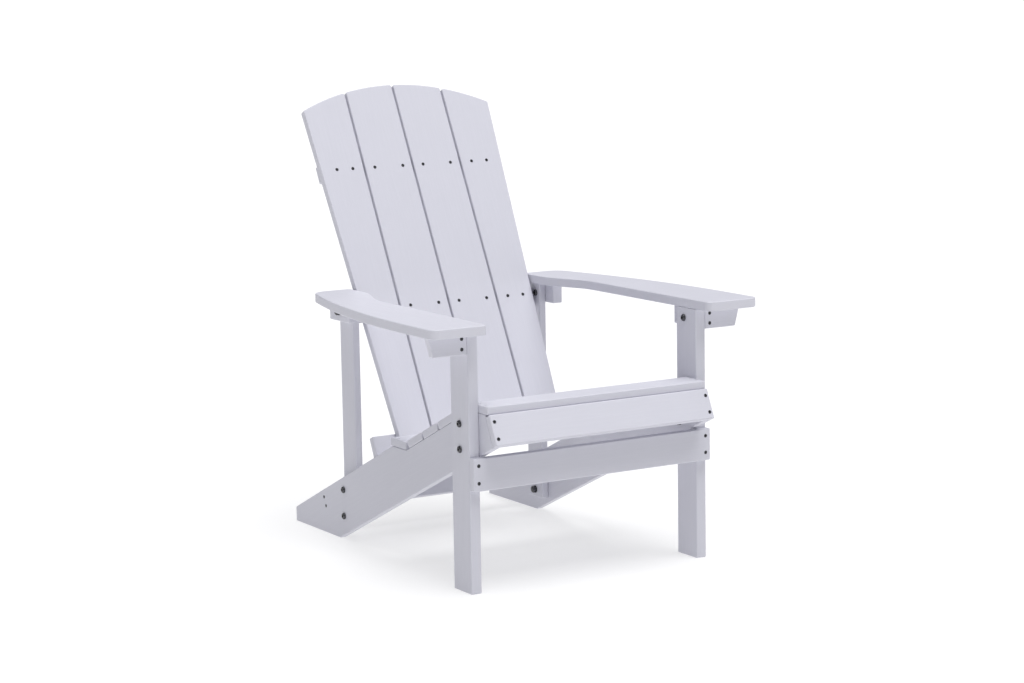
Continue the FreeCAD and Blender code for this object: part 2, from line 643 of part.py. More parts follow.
def arm_bracket():
    """Board flush with the leg's front, with a slanted outer end, that carries the arm."""
    body = doc.addObject("PartDesign::Body", "right_arm_bracket")
    sketch = sketch_on(body, "XZ_Plane")
    polygon(sketch, (("leg_face", "block_z"), ("bracket_toe", "block_z"),
                     ("bracket_tip", "arm_under"), ("leg_face", "arm_under")))
    pad(body, sketch, "plank_thick", rearwards=True)
    ease(body, "edge_round")
    return body


def front_arm_block():
    """Block along the leg's outer side, behind the bracket, under the arm."""
    place = VECTOR(val("leg_face"), val("plank_thick"), val("block_z"))
    return box_board("right_front_arm_block", ("leg_thick", "block_length", "block_height"),
                     leaning(place, 0))


def rear_arm_block():
    """Block along the post's outer side, under the arm, flush with the post's back edge."""
    place = VECTOR(val("inner_face"), val("rear_block_y"), val("block_z"))
    return box_board("right_rear_arm_block", ("leg_thick", "rear_block_length", "block_height"),
                     leaning(place, 0))


# ---------------------------------------------------------------- fastener sites

def frame_bolts():
    """Bolts that hold the legs and the posts to the stringers."""
    under = val("seat_bed") - val("under_bed")
    low = under + (val("knee_y") - val("leg_bolt_set")) * val("tan_u") + val("leg_bolt_low")
    sites = [(VECTOR(val("leg_face"), val("leg_bolt_set"), height), INWARDS)
             for height in (low, val("seat_bed") - val("leg_bolt_high"))]
    bolts("leg", sites, val("leg_thick") + val("plank_thick"), ("right_leg", "right_stringer"))

    middle = val("post_y") + val("post_width") / 2
    bed = val("seat_bed") - (middle - val("knee_y")) * val("tan_u")
    reach = bed + val("rebate") / val("cos_u") - val("post_foot")
    sites = [(VECTOR(val("frame_half"), middle, val("post_foot") + share * reach), INWARDS)
             for share in POST_BOLT_ROWS]
    bolts("post", sites, 2 * val("plank_thick"), ("right_post", "right_stringer"))


def block_bolts():
    """Bolts that hold the arm blocks to the legs and the posts."""
    height = val("arm_under") - val("block_height") / 2
    sites = [(VECTOR(val("frame_half"), val("leg_block_bolt"), height), OUTWARDS)]
    bolts("leg_block", sites, 2 * val("leg_thick"), ("right_leg", "right_front_arm_block"))
    place = VECTOR(val("post_face"), val("post_y") + val("post_block_bolt"), height)
    bolts("post_block", [(place, OUTWARDS)], val("leg_thick") + val("plank_thick"),
          ("right_post", "right_rear_arm_block"))


def apron_screws():
    """Screws through the apron into the legs' fronts."""
    x = val("frame_half") + val("leg_thick") / 2
    sites = [(VECTOR(x, -val("plank_thick"), val("apron_bottom") + share * val("board_width")), REARWARDS)
             for share in APRON_ROWS]
    screws("apron_screws", sites, "frame_screw", ("right_leg",), ("front_apron",))


def strip_screws():
    """Screws through the stringers and the posts into the ends of the strips between them."""
    edges = [(share - 0.5) * val("strip_width") for share in STRIP_ROWS]
    middle = stretcher_centre()
    middle.x = val("frame_half")
    sites = [(up(middle, edge, val("rake")), INWARDS) for edge in edges]
    screws("stretcher_screws", sites, "frame_screw", ("right_stringer",), ("rear_stretcher",))

    middle = back_point(val("inner_face"), 1.5 * val("plank_thick"), val("lower_rail"))
    sites = [(up(middle, edge, val("recline")), INWARDS) for edge in edges]
    screws("lower_rail_screws", sites, "frame_screw", ("right_post",), ("lower_back_rail",))


def arm_screws():
    """Screws up through the arm blocks into the arms, and through the brackets into the blocks."""
    front_x = val("leg_face") + val("leg_thick") / 2
    front = [(VECTOR(front_x, val("plank_thick") + share * val("block_length"), val("block_z")), UPWARDS)
             for share in FRONT_BLOCK_ROWS]
    rear_x = val("inner_face") + val("leg_thick") / 2
    rear = [(VECTOR(rear_x, val("rear_block_y") + share * val("rear_block_length"), val("block_z")), UPWARDS)
            for share in REAR_BLOCK_ROWS]
    drill(front, screw_hole(val("arm_screw")), ("right_front_arm_block",))
    drill(rear, screw_hole(val("arm_screw")), ("right_rear_arm_block",))
    screws("arm_screws", front + rear, "arm_screw", ("right_arm",))

    sites = [(VECTOR(front_x, 0, val("block_z") + share * val("block_height")), REARWARDS)
             for share in BRACKET_ROWS]
    screws("bracket_screws", sites, "frame_screw", ("right_arm_bracket", "right_front_arm_block"))


def seat_slat_screws():
    """Two screws in each end of every seat slat."""
    thick, hole = val("plank_thick"), screw_hole(val("seat_screw"))
    x = val("frame_half") - thick / 2
    every = []
    for number, (corner, fall) in enumerate(seat_slat_corners(), start=1):
        start, down = VECTOR(x, corner.y, corner.z), up(VECTOR(), -1, fall)
        shares = RAKED_SLAT_ROWS if fall else LEVEL_SLAT_ROWS
        sites = [(up(along(start, share * val("board_width"), fall), thick, fall), down)
                 for share in shares]
        drill(mirrored(sites), hole, (f"seat_slat_{number}",))
        every += sites
    screws("seat_slat_screws", every, "seat_screw", ("right_stringer",))


def seat_end_screws():
    """Screws of the nose slat and of the seat back rail."""
    x, rake = val("frame_half") - val("plank_thick") / 2, val("rake")
    start = nose_corner()
    start.x = x
    sites = [(up(start, share * val("nose_width"), rake), along(VECTOR(), 1, rake)) for share in NOSE_ROWS]
    screws("nose_slat_screws", sites, "frame_screw", ("right_stringer",), ("seat_nose_slat",))

    top = up(VECTOR(x, val("rail_y"), val("rail_z")), val("seat_rail_width"), rake)
    sites = [(along(top, val("plank_thick") / 2, rake), up(VECTOR(), -1, rake))]
    screws("seat_back_rail_screws", sites, "rail_screw", ("right_stringer",), ("seat_back_rail",))


def back_screws():
    """Two rows of screws through the slats into the back rails."""
    inner = [val("inner_slat_near") + share * val("plank_width") for share in INNER_SLAT_COLUMNS]
    outer = [val("outer_slat_near") + share * val("outer_foot") for share in OUTER_SLAT_COLUMNS]
    rearwards = along(VECTOR(), 1, val("recline"))
    for row in ("upper", "lower"):
        every = []
        for slat, columns in (("back_slat_3", inner), ("back_slat_4", outer)):
            sites = [(back_point(x, 0, val(f"{row}_rail")), rearwards) for x in columns]
            drill(sites, screw_hole(val("back_screw")), (slat,))
            every += sites
        screws(f"{row}_back_screws", every, "back_screw", (), (f"{row}_back_rail",))


# ---------------------------------------------------------------- assembly

def finished(body):
    """The board with its holes cut, as the node named by the body's label."""
    label = body.Label
    if label not in HOLES:
        NODES[label] = body
        return
    body.Label = label + "_blank"
    tools = doc.addObject("Part::Feature", label + "_holes")
    tools.Shape = Part.makeCompound(HOLES[label])
    cut = doc.addObject("Part::Cut", label)
    cut.Base = body
    cut.Tool = tools
    cut.Label = label
    NODES[label] = cut


def mirror(source, label):
    """Left-hand twin of a right-hand node."""
    twin = doc.addObject("Part::Mirroring", label)
    twin.Source = NODES[source]
    twin.Normal = OUTWARDS
    NODES[label] = twin


def build():
    """Make every board, drill it for its fasteners and mirror the right-hand ones."""
    right = [stringer(), leg(), post(), arm(), arm_bracket(), front_arm_block(), rear_arm_block()]
    slats = [back_slat("back_slat_3", "inner_slat_near", "inner_slat_far", "inner_slat_far"),
             back_slat("back_slat_4", "outer_slat_near", "outer_slat_toe", "outer_slat_head")]
    middle = [apron(), stretcher(), nose_slat(), seat_back_rail(),
              back_rail("upper_back_rail", "upper_rail", "upper_rail_span"),
              back_rail("lower_back_rail", "lower_rail", "post_span")] + seat_slats()
    twins = {board.Label: board.Label.replace("right", "left", 1) for board in right}
    twins.update(back_slat_3="back_slat_2", back_slat_4="back_slat_1")
    for fasten in (frame_bolts, block_bolts, apron_screws, strip_screws, arm_screws,
                   seat_slat_screws, seat_end_screws, back_screws):
        fasten()
    for board in right + slats + middle:
        finished(board)
    doc.recompute()
    for source, label in twins.items():
        mirror(source, label)
    doc.recompute()


def check():
    """Stop if an object failed or a node is empty or broken."""
    for item in doc.Objects:
        if "Invalid" in item.State or "Error" in item.State:
            raise RuntimeError(f"{item.Label}: {item.State}")
    for label, node in NODES.items():
        if node.Shape.isNull() or not node.Shape.isValid() or not node.Shape.Solids:
            raise RuntimeError(f"{label}: bad shape")


def middle_of_depth():
    """Y of the middle of the whole chair's bounding box."""
    boxes = [node.Shape.optimalBoundingBox(False) for node in NODES.values()]
    return (min(box.YMin for box in boxes) + max(box.YMax for box in boxes)) / 2


def write():
    """Write each node to its own STEP file, with the origin on the ground under the middle."""
    os.makedirs("parts", exist_ok=True)
    middle = middle_of_depth()
    for label, node in NODES.items():
        shape = node.Shape.translated(VECTOR(0, -middle, 0))
        shape.exportStep(f"parts/{label}.step")
        box = shape.BoundBox
        print(f"{label}: {len(shape.Solids)} solids, {box.XLength:.1f} x {box.YLength:.1f} x "
              f"{box.ZLength:.1f} mm")
    print(f"origin {middle:.3f} mm behind the front legs' front face")


build()
check()
write()
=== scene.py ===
"""Looks of a slatted garden armchair: embossed plastic-wood boards, dark screws and steel bolts."""

import math
from collections import namedtuple

import bmesh
import bpy
import numpy as np
from mathutils import Matrix, Vector


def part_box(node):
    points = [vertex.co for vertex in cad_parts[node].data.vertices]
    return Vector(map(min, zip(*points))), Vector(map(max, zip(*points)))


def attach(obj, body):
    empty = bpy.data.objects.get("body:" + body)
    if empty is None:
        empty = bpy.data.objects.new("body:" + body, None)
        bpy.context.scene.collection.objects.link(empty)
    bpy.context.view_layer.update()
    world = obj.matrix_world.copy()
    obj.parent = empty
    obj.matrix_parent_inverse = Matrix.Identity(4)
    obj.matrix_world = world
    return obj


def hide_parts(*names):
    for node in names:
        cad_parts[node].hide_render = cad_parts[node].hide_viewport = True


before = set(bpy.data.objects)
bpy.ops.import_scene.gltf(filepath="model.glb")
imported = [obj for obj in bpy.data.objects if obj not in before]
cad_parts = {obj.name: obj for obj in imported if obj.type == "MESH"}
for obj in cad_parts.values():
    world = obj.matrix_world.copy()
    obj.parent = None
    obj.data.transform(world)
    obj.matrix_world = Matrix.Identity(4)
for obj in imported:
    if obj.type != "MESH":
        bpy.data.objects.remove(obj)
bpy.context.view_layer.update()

bl_info = {
    "name": "Slatted Garden Armchair",
    "version": (1, 0, 0),
    "blender": (4, 5, 0),
    "location": "3D Viewport > Sidebar > Armchair",
    "description": "Boards, screws, bolts and studio stage of a slatted garden armchair",
    "category": "Object",
}

MM = 0.001
BODY = "root"
SIDES = 48                 # points round a turned piece, a multiple of 4 and 6
CREASE = math.radians(32)  # edges sharper than this stay crisp
SEED = 11
WHITE_SCREWS = ("seat_slat_screws", "seat_back_rail_screws")
GRAIN_STEP = (0.731, 0.217, 0.093)  # metres that the grain shifts from one board to the next
SLAT_GRAIN = 16            # board number that sets where the repeated slats' grain starts
CLEAN_WHITE = (1.0, 1.0, 1.0, 1.0)
COOL_WHITE = (0.92, 0.93, 1.0, 1.0)

Site = namedtuple("Site", "start axis length radius")


# ---------------------------------------------------------------- settings

class BoardSettings(bpy.types.PropertyGroup):
    """Colour and embossing of the plastic-wood boards."""
    colour: bpy.props.FloatVectorProperty(
        name="Board colour", description="Colour of the boards' raised grain", subtype="COLOR",
        size=3, min=0, max=1, default=(0.668, 0.667, 0.732))
    valley: bpy.props.FloatVectorProperty(
        name="Grain colour", description="Colour in the lines of the grain", subtype="COLOR",
        size=3, min=0, max=1, default=(0.650, 0.649, 0.714))
    sawn: bpy.props.FloatVectorProperty(
        name="Sawn colour", description="Colour of the sawn ends and edges", subtype="COLOR",
        size=3, min=0, max=1, default=(0.668, 0.667, 0.730))
    line_spacing: bpy.props.FloatProperty(
        name="Grain spacing", description="Distance between the lines of the grain",
        default=4.2 * MM, unit="LENGTH")
    line_length: bpy.props.FloatProperty(
        name="Grain length", description="Length over which a line of the grain wanders",
        default=120 * MM, unit="LENGTH")
    depth: bpy.props.FloatProperty(
        name="Emboss depth", description="Depth of the embossed grain", default=0.07 * MM,
        unit="LENGTH")
    roughness: bpy.props.FloatProperty(
        name="Roughness", description="Roughness of the boards' skin", default=0.46, min=0, max=1,
        subtype="FACTOR")


class ScrewSettings(bpy.types.PropertyGroup):
    """Head and shank of the countersunk screws."""
    head: bpy.props.FloatProperty(
        name="Head radius", description="Radius of a screw's head", default=3.6 * MM, unit="LENGTH")
    shank: bpy.props.FloatProperty(
        name="Shank radius", description="Radius of a screw's shank", default=2.0 * MM, unit="LENGTH")
    drive: bpy.props.FloatProperty(
        name="Recess width", description="Half width of the square recess", default=1.3 * MM,
        unit="LENGTH")
    colour: bpy.props.FloatVectorProperty(
        name="Screw colour", description="Dark coating of the screws", subtype="COLOR", size=3,
        min=0, max=1, default=(0.045, 0.045, 0.050))


class BoltSettings(bpy.types.PropertyGroup):
    """Button heads, washers and nuts of the frame's bolts."""
    head: bpy.props.FloatProperty(
        name="Head radius", description="Radius of a bolt's head", default=7.0 * MM, unit="LENGTH")
    rise: bpy.props.FloatProperty(
        name="Head height", description="Height of a bolt's head", default=4.4 * MM, unit="LENGTH")
    shank: bpy.props.FloatProperty(
        name="Shank radius", description="Radius of a bolt's shank", default=4.0 * MM, unit="LENGTH")
    key: bpy.props.FloatProperty(
        name="Socket", description="Half width across the socket's flats", default=2.45 * MM,
        unit="LENGTH")
    flats: bpy.props.FloatProperty(
        name="Nut", description="Half width across a nut's flats", default=6.5 * MM, unit="LENGTH")
    bore: bpy.props.FloatProperty(
        name="Bore radius", description="Bore of the nuts and washers", default=4.2 * MM,
        unit="LENGTH")
    pitch: bpy.props.FloatProperty(
        name="Thread pitch", description="Distance between the thread's turns", default=1.25 * MM,
        unit="LENGTH")
    # Near-black steel colour: painted dark reflection, standing in for the dark surroundings that the
    # shiny plated bolts mirror; it is not the plating's own colour.
    colour: bpy.props.FloatVectorProperty(
        name="Steel colour with painted reflection", description="Plated steel of the bolts", subtype="COLOR", size=3,
        min=0, max=1, default=(0.06, 0.06, 0.065))


class StageSettings(bpy.types.PropertyGroup):
    """Floor, light and camera."""
    floor: bpy.props.FloatVectorProperty(
        name="Floor colour", description="Colour of the floor", subtype="COLOR", size=3, min=0,
        max=1, default=(0.45, 0.45, 0.45))
    floor_glow: bpy.props.FloatProperty(
        name="Floor glow", description="Light that the floor gives off by itself", default=0.58,
        min=0)
    floor_radius: bpy.props.FloatProperty(
        name="Floor radius", description="Radius of the floor", default=90.0, unit="LENGTH")
    sky: bpy.props.FloatProperty(
        name="Sky", description="Strength of the even light all round", default=0.28, min=0)
    key: bpy.props.FloatProperty(
        name="Key light", description="Strength of the main soft light", default=2.88, min=0)
    key_from: bpy.props.FloatVectorProperty(
        name="Key light from", description="Direction that the main light comes from", size=3,
        subtype="DIRECTION", default=(0.06, -0.20, 0.97))
    softness: bpy.props.FloatProperty(
        name="Softness", description="Angular size of the main light", default=math.radians(50),
        subtype="ANGLE")
    lens: bpy.props.FloatProperty(
        name="Lens", description="Focal length on a sensor 36 mm wide, in millimetres",
        default=91.48, min=1)
    camera_from_leg: bpy.props.FloatVectorProperty(
        name="Camera place", description="Camera's place from the middle of the legs' front line",
        size=3, subtype="TRANSLATION", unit="LENGTH", default=(-2.7100, -4.1878, 1.2197))
    camera_shift: bpy.props.FloatVectorProperty(
        name="Camera shift", description="Shift of the lens in shares of the picture's width",
        size=2, default=(-0.00135, 0.00072))
    camera_turn: bpy.props.FloatVectorProperty(
        name="Camera turn", description="Turn to the right, rise over the horizon and roll",
        size=3, subtype="EULER", default=(math.radians(31.213), math.radians(8.595),
                                          math.radians(-0.934)))


def settings():
    """All the settings, kept on the scene."""
    return bpy.context.scene.armchair


class ArmchairSettings(bpy.types.PropertyGroup):
    """Sizes and colours of the armchair and its stage."""
    boards: bpy.props.PointerProperty(name="Boards", description="Boards", type=BoardSettings)
    screws: bpy.props.PointerProperty(name="Screws", description="Screws", type=ScrewSettings)
    bolts: bpy.props.PointerProperty(name="Bolts", description="Bolts", type=BoltSettings)
    stage: bpy.props.PointerProperty(name="Stage", description="Stage", type=StageSettings)


# ---------------------------------------------------------------- shader groups

class Nodes:
    """Adds nodes to a tree and links them in one call each."""

    def __init__(self, tree):
        self.tree = tree

    def add(self, kind, inputs=(), **traits):
        node = self.tree.nodes.new(kind)
        for name, value in traits.items():
            setattr(node, name, value)
        for key, value in dict(inputs).items():
            if isinstance(value, bpy.types.NodeSocket):
                self.tree.links.new(value, node.inputs[key])
            else:
                node.inputs[key].default_value = value
        return node

    def maths(self, operation, first, second):
        return self.add("ShaderNodeMath", {0: first, 1: second}, operation=operation).outputs[0]

    def spread(self, value, low, high):
        """The value as a share of the way from low to high."""
        return self.add("ShaderNodeMapRange", {"Value": value, "From Min": low,
                                               "From Max": high}).outputs[0]

    def blend(self, share, first, second):
        node = self.add("ShaderNodeMix", data_type="RGBA")
        for socket, value in ((node.inputs[0], share), (node.inputs[6], first),
                              (node.inputs[7], second)):
            if isinstance(value, bpy.types.NodeSocket):
                self.tree.links.new(value, socket)
            elif socket.type == "RGBA":
                socket.default_value = (*value, 1.0)
            else:
                socket.default_value = value
        return node.outputs[2]


def shader_group(name, inputs, outputs):
    """Empty node group with named float or vector inputs and named float outputs."""
    tree = bpy.data.node_groups.new(name, "ShaderNodeTree")
    for label, kind, value in inputs:
        socket = tree.interface.new_socket(label, in_out="INPUT", socket_type=kind)
        if value is not None:
            socket.default_value = value
    for label in outputs:
        tree.interface.new_socket(label, in_out="OUTPUT", socket_type="NodeSocketFloat")
    nodes = Nodes(tree)
    return tree, nodes, nodes.add("NodeGroupInput").outputs, nodes.add("NodeGroupOutput").inputs


def stretched(nodes, place, along, across):
    """Place in a board with its length measured in one unit and its section in another."""
    parts = nodes.add("ShaderNodeSeparateXYZ", {0: place}).outputs
    return nodes.add("ShaderNodeCombineXYZ", {
        0: nodes.maths("DIVIDE", parts[0], along), 1: nodes.maths("DIVIDE", parts[1], across),
        2: nodes.maths("DIVIDE", parts[2], across)}).outputs[0]


def embossed_grain():
    """Group: lines of a rolled wood grain that run along a board."""
    tree, nodes, given, result = shader_group(
        "Embossed Grain",
        (("Place", "NodeSocketVector", None), ("Spacing", "NodeSocketFloat", 0.004),
         ("Length", "NodeSocketFloat", 0.12)), ("Height", "Lines"))
    place = stretched(nodes, given["Place"], given["Length"], given["Spacing"])
    drift = nodes.add("ShaderNodeTexNoise", {"Vector": place, "Scale": 0.35, "Detail": 2.0,
                                             "Roughness": 0.5}, noise_dimensions="3D")
    bend = nodes.add("ShaderNodeVectorMath", {0: drift.outputs["Color"], 1: (0.6, 2.6, 2.6)},
                     operation="MULTIPLY")
    bent = nodes.add("ShaderNodeVectorMath", {0: place, 1: bend.outputs[0]}, operation="ADD")
    broad = nodes.add("ShaderNodeTexNoise", {"Vector": bent.outputs[0], "Scale": 1.0,
                                             "Detail": 2.5, "Roughness": 0.6})
    fine = nodes.add("ShaderNodeTexNoise", {"Vector": bent.outputs[0], "Scale": 3.4,
                                            "Detail": 2.0, "Roughness": 0.7})
    lines = nodes.spread(broad.outputs[0], 0.40, 0.62)
    pores = nodes.spread(fine.outputs[0], 0.36, 0.58)
    height = nodes.maths("ADD", nodes.maths("MULTIPLY", lines, 0.68),
                         nodes.maths("MULTIPLY", pores, 0.32))
    tree.links.new(height, result["Height"])
    tree.links.new(nodes.maths("MULTIPLY", lines, pores), result["Lines"])
    return tree


def saw_marks():
    """Group: fine ripple left by a saw across a cut end or edge."""
    tree, nodes, given, result = shader_group(
        "Saw Marks", (("Place", "NodeSocketVector", None), ("Pitch", "NodeSocketFloat", 0.0012)),
        ("Height",))
    place = stretched(nodes, given["Place"], given["Pitch"], 0.02)
    ripple = nodes.add("ShaderNodeTexNoise", {"Vector": place, "Scale": 1.0, "Detail": 2.0})
    crumb = nodes.add("ShaderNodeTexNoise", {"Vector": given["Place"], "Scale": 1400.0,
                                             "Detail": 1.0})
    tree.links.new(nodes.maths("ADD", nodes.maths("MULTIPLY", ripple.outputs[0], 0.7),
                               nodes.maths("MULTIPLY", crumb.outputs[0], 0.3)), result["Height"])
    return tree


def skin_variation():
    """Group: cloudy change of tone and gloss, and fine orange-peel, of a moulded or plated skin."""
    tree, nodes, given, result = shader_group(
        "Skin Variation", (("Place", "NodeSocketVector", None), ("Size", "NodeSocketFloat", 0.05),
                           ("Peel", "NodeSocketFloat", 0.001)), ("Cloud", "Peel"))
    cloud = nodes.add("ShaderNodeTexNoise", {
        "Vector": given["Place"], "Scale": nodes.maths("DIVIDE", 1.0, given["Size"]),
        "Detail": 3.0, "Roughness": 0.6})
    peel = nodes.add("ShaderNodeTexNoise", {
        "Vector": given["Place"], "Scale": nodes.maths("DIVIDE", 1.0, given["Peel"]),
        "Detail": 1.0})
    tree.links.new(nodes.spread(cloud.outputs[0], 0.3, 0.7), result["Cloud"])
    tree.links.new(peel.outputs[0], result["Peel"])
    return tree


def turning_marks():
    """Group: rings that a tool leaves round the axis of a turned or pressed fastener."""
    tree, nodes, given, result = shader_group(
        "Turning Marks", (("Place", "NodeSocketVector", None), ("Pitch", "NodeSocketFloat", 0.0004)),
        ("Height",))
    parts = nodes.add("ShaderNodeSeparateXYZ", {0: given["Place"]}).outputs
    flat = nodes.add("ShaderNodeCombineXYZ", {0: parts[0], 1: parts[1]}).outputs[0]
    radius = nodes.add("ShaderNodeVectorMath", {0: flat}, operation="LENGTH").outputs["Value"]
    ring = nodes.add("ShaderNodeTexNoise", {
        "W": nodes.maths("DIVIDE", nodes.maths("ADD", radius, parts[2]), given["Pitch"]),
        "Scale": 1.0, "Detail": 2.0}, noise_dimensions="1D")
    tree.links.new(ring.outputs[0], result["Height"])
    return tree


GROUP_MAKERS = {"Embossed Grain": embossed_grain, "Saw Marks": saw_marks,
                "Skin Variation": skin_variation, "Turning Marks": turning_marks}


def group_node(nodes, name, inputs):
    """A node that places one of the shared groups, which is built the first time."""
    tree = bpy.data.node_groups.get(name) or GROUP_MAKERS[name]()
    return nodes.add("ShaderNodeGroup", inputs, node_tree=tree).outputs


# ---------------------------------------------------------------- materials

def new_material(name):
    """Material with an empty tree, its node helper, its shader and its place attribute."""
    material = bpy.data.materials.new(name)
    material.use_nodes = True
    material.node_tree.nodes.clear()
    nodes = Nodes(material.node_tree)
    shader = nodes.add("ShaderNodeBsdfPrincipled")
    nodes.add("ShaderNodeOutputMaterial", {"Surface": shader.outputs[0]})
    place = nodes.add("ShaderNodeAttribute", attribute_name="place").outputs["Vector"]
    return material, nodes, shader, place


def board_material():
    """White plastic wood: embossed faces, plain sawn ends and edges, slightly uneven gloss."""
    known = bpy.data.materials.get("White Plastic Wood")
    if known:
        return known
    wish = settings().boards
    material, nodes, shader, place = new_material("White Plastic Wood")
    sawn = nodes.add("ShaderNodeAttribute", attribute_name="sawn").outputs["Fac"]
    grain = group_node(nodes, "Embossed Grain", {
        "Place": place, "Spacing": wish.line_spacing, "Length": wish.line_length})
    saw = group_node(nodes, "Saw Marks", {"Place": place, "Pitch": 1.4 * MM})
    skin = group_node(nodes, "Skin Variation", {"Place": place, "Size": 90 * MM,
                                                "Peel": 0.9 * MM})
    face = nodes.blend(grain["Lines"], wish.valley, wish.colour)
    cloudy = nodes.blend(nodes.maths("MULTIPLY", skin["Cloud"], 0.35), face, wish.colour)
    colour = nodes.blend(sawn, cloudy, wish.sawn)
    nodes.tree.links.new(colour, shader.inputs["Base Color"])
    gloss = nodes.maths("ADD", wish.roughness, nodes.maths("MULTIPLY", skin["Cloud"], 0.10))
    gloss = nodes.maths("SUBTRACT", gloss, nodes.maths("MULTIPLY", grain["Height"], 0.06))
    nodes.tree.links.new(nodes.maths("ADD", gloss, nodes.maths("MULTIPLY", sawn, 0.12)),
                         shader.inputs["Roughness"])
    relief = nodes.maths("ADD", nodes.maths("MULTIPLY", grain["Height"],
                                            nodes.maths("SUBTRACT", 1.0, sawn)),
                         nodes.maths("MULTIPLY", nodes.maths("MULTIPLY", saw["Height"], 0.35), sawn))
    relief = nodes.maths("ADD", relief, nodes.maths("MULTIPLY", skin["Peel"], 0.06))
    bump = nodes.add("ShaderNodeBump", {"Height": relief, "Distance": wish.depth,
                                        "Strength": 0.45})
    nodes.tree.links.new(bump.outputs[0], shader.inputs["Normal"])
    shader.inputs["IOR"].default_value = 1.49
    shader.inputs["Specular IOR Level"].default_value = 0.42
    return material


def metal_material(name, colour, worn, roughness, metallic, pitch):
    """Plated or coated steel: turning marks, brighter where a tool has rubbed it."""
    known = bpy.data.materials.get(name)
    if known:
        return known
    material, nodes, shader, place = new_material(name)
    marks = group_node(nodes, "Turning Marks", {"Place": place, "Pitch": pitch})
    skin = group_node(nodes, "Skin Variation", {"Place": place, "Size": 2.5 * MM,
                                                "Peel": 0.35 * MM})
    rubbed = nodes.maths("MULTIPLY", skin["Cloud"], marks["Height"])
    nodes.tree.links.new(nodes.blend(rubbed, colour, worn), shader.inputs["Base Color"])
    gloss = nodes.maths("ADD", roughness, nodes.maths("MULTIPLY", skin["Cloud"], 0.14))
    nodes.tree.links.new(gloss, shader.inputs["Roughness"])
    relief = nodes.maths("ADD", nodes.maths("MULTIPLY", marks["Height"], 0.7),
                         nodes.maths("MULTIPLY", skin["Peel"], 0.3))
    bump = nodes.add("ShaderNodeBump", {"Height": relief, "Distance": 0.02 * MM,
                                        "Strength": 0.6})
    nodes.tree.links.new(bump.outputs[0], shader.inputs["Normal"])
    shader.inputs["Metallic"].default_value = metallic
    return material


def screw_material():
    """Dark coated steel of the screws."""
    return metal_material("Dark Coated Steel", tuple(settings().screws.colour),
                          worn=(0.12, 0.12, 0.125), roughness=0.38, metallic=0.6, pitch=0.3 * MM)


def white_screw_material():
    """White coated steel of the screws in the seat."""
    colour = tuple(settings().boards.colour)
    return metal_material("White Coated Steel", colour, worn=colour, roughness=0.45,
                          metallic=0.0, pitch=0.3 * MM)


def bolt_material():
    """Plated steel of the bolts, washers and nuts, coloured near-black as a painted dark reflection.
    """
    # Near-black base colour: painted dark reflection of the surroundings; the bright highlight comes
    # from the low roughness under the lights.
    return metal_material("Plated Steel", tuple(settings().bolts.colour),
                          worn=(0.22, 0.22, 0.23), roughness=0.14, metallic=1.0,
                          pitch=0.45 * MM)


# ---------------------------------------------------------------- meshes

def merged(node):
    """The node's mesh as one closed bmesh."""
    shape = bmesh.new()
    shape.from_mesh(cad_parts[node].data)
    bmesh.ops.remove_doubles(shape, verts=shape.verts, dist=1e-6)
    shape.normal_update()
    return shape


def plain_mesh(name, shape):
    """Mesh that holds only a bmesh's points, edges and faces, all smooth."""
    shape.verts.index_update()
    mesh = bpy.data.meshes.new(name)
    mesh.from_pydata([v.co[:] for v in shape.verts], [],
                     [[v.index for v in face.verts] for face in shape.faces])
    mesh.polygons.foreach_set("use_smooth", [True] * len(mesh.polygons))
    shape.free()
    return mesh


def title_of(node):
    """Name of the piece that stands for a node."""
    return "_".join(word.capitalize() for word in node.split("_"))


def shown(name, mesh):
    """Object that shows the mesh, linked to the scene."""
    piece = bpy.data.objects.new(name, mesh)
    bpy.context.scene.collection.objects.link(piece)
    return piece


def baked(piece):
    """Replace a piece's mesh by the result of its modifiers, which are then removed."""
    bpy.context.view_layer.update()
    graph = bpy.context.evaluated_depsgraph_get()
    mesh = bpy.data.meshes.new_from_object(piece.evaluated_get(graph), depsgraph=graph)
    piece.modifiers.clear()
    old, piece.data = piece.data, mesh
    mesh.name = piece.name
    if old.users == 0:
        bpy.data.meshes.remove(old)
    return piece


def board_axes(shape):
    """Length, width and thickness directions of a board's mesh."""
    normals = np.array([face.normal[:] for face in shape.faces])
    areas = np.array([face.calc_area() for face in shape.faces])
    alike = (np.abs(normals @ normals.T) > 0.9999) @ areas
    thick = Vector(normals[int(np.argmax(alike))])
    longest, length = 0.0, None
    for edge in shape.edges:
        run = edge.verts[1].co - edge.verts[0].co
        if run.length > longest and edge.calc_face_angle(0) > math.radians(2):
            longest, length = run.length, run.normalized()
    length = (length - length.dot(thick) * thick).normalized()
    return length, thick.cross(length), thick


def place_board(mesh, axes, centre, number, outline):
    """Store where each point lies in its board, and which faces a saw has cut."""
    length, width, thick = (np.array(axis) for axis in axes)
    points = np.empty(len(mesh.vertices) * 3)
    mesh.vertices.foreach_get("co", points)
    local = (points.reshape(-1, 3) - np.array(centre)) @ np.array([length, width, thick]).T
    local += np.array(GRAIN_STEP) * (number + 1)
    mesh.attributes.new("place", "FLOAT_VECTOR", "POINT").data.foreach_set(
        "vector", local.astype(np.float32).ravel())
    normals = np.empty(len(mesh.polygons) * 3)
    mesh.polygons.foreach_get("normal", normals)
    normals = normals.reshape(-1, 3)
    cut = np.abs(normals @ thick) < 0.5 if outline else np.abs(normals @ length) > 0.35
    mesh.attributes.new("sawn", "FLOAT", "FACE").data.foreach_set("value", cut.astype(np.float32))


def soften(piece):
    """Let the broad faces rule the normals; eased edges shade smoothly, drilled rims stay crisp."""
    piece.data.set_sharp_from_angle(angle=CREASE)
    modifier = piece.modifiers.new("Soften", "WEIGHTED_NORMAL")
    modifier.weight = 100
    modifier.keep_sharp = True
    return baked(piece)


def finish_board(piece, *nodes):
    """Give a board its material and let it stand for its nodes."""
    piece.data.materials.clear()
    piece.data.materials.append(board_material())
    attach(piece, BODY)
    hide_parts(*nodes)


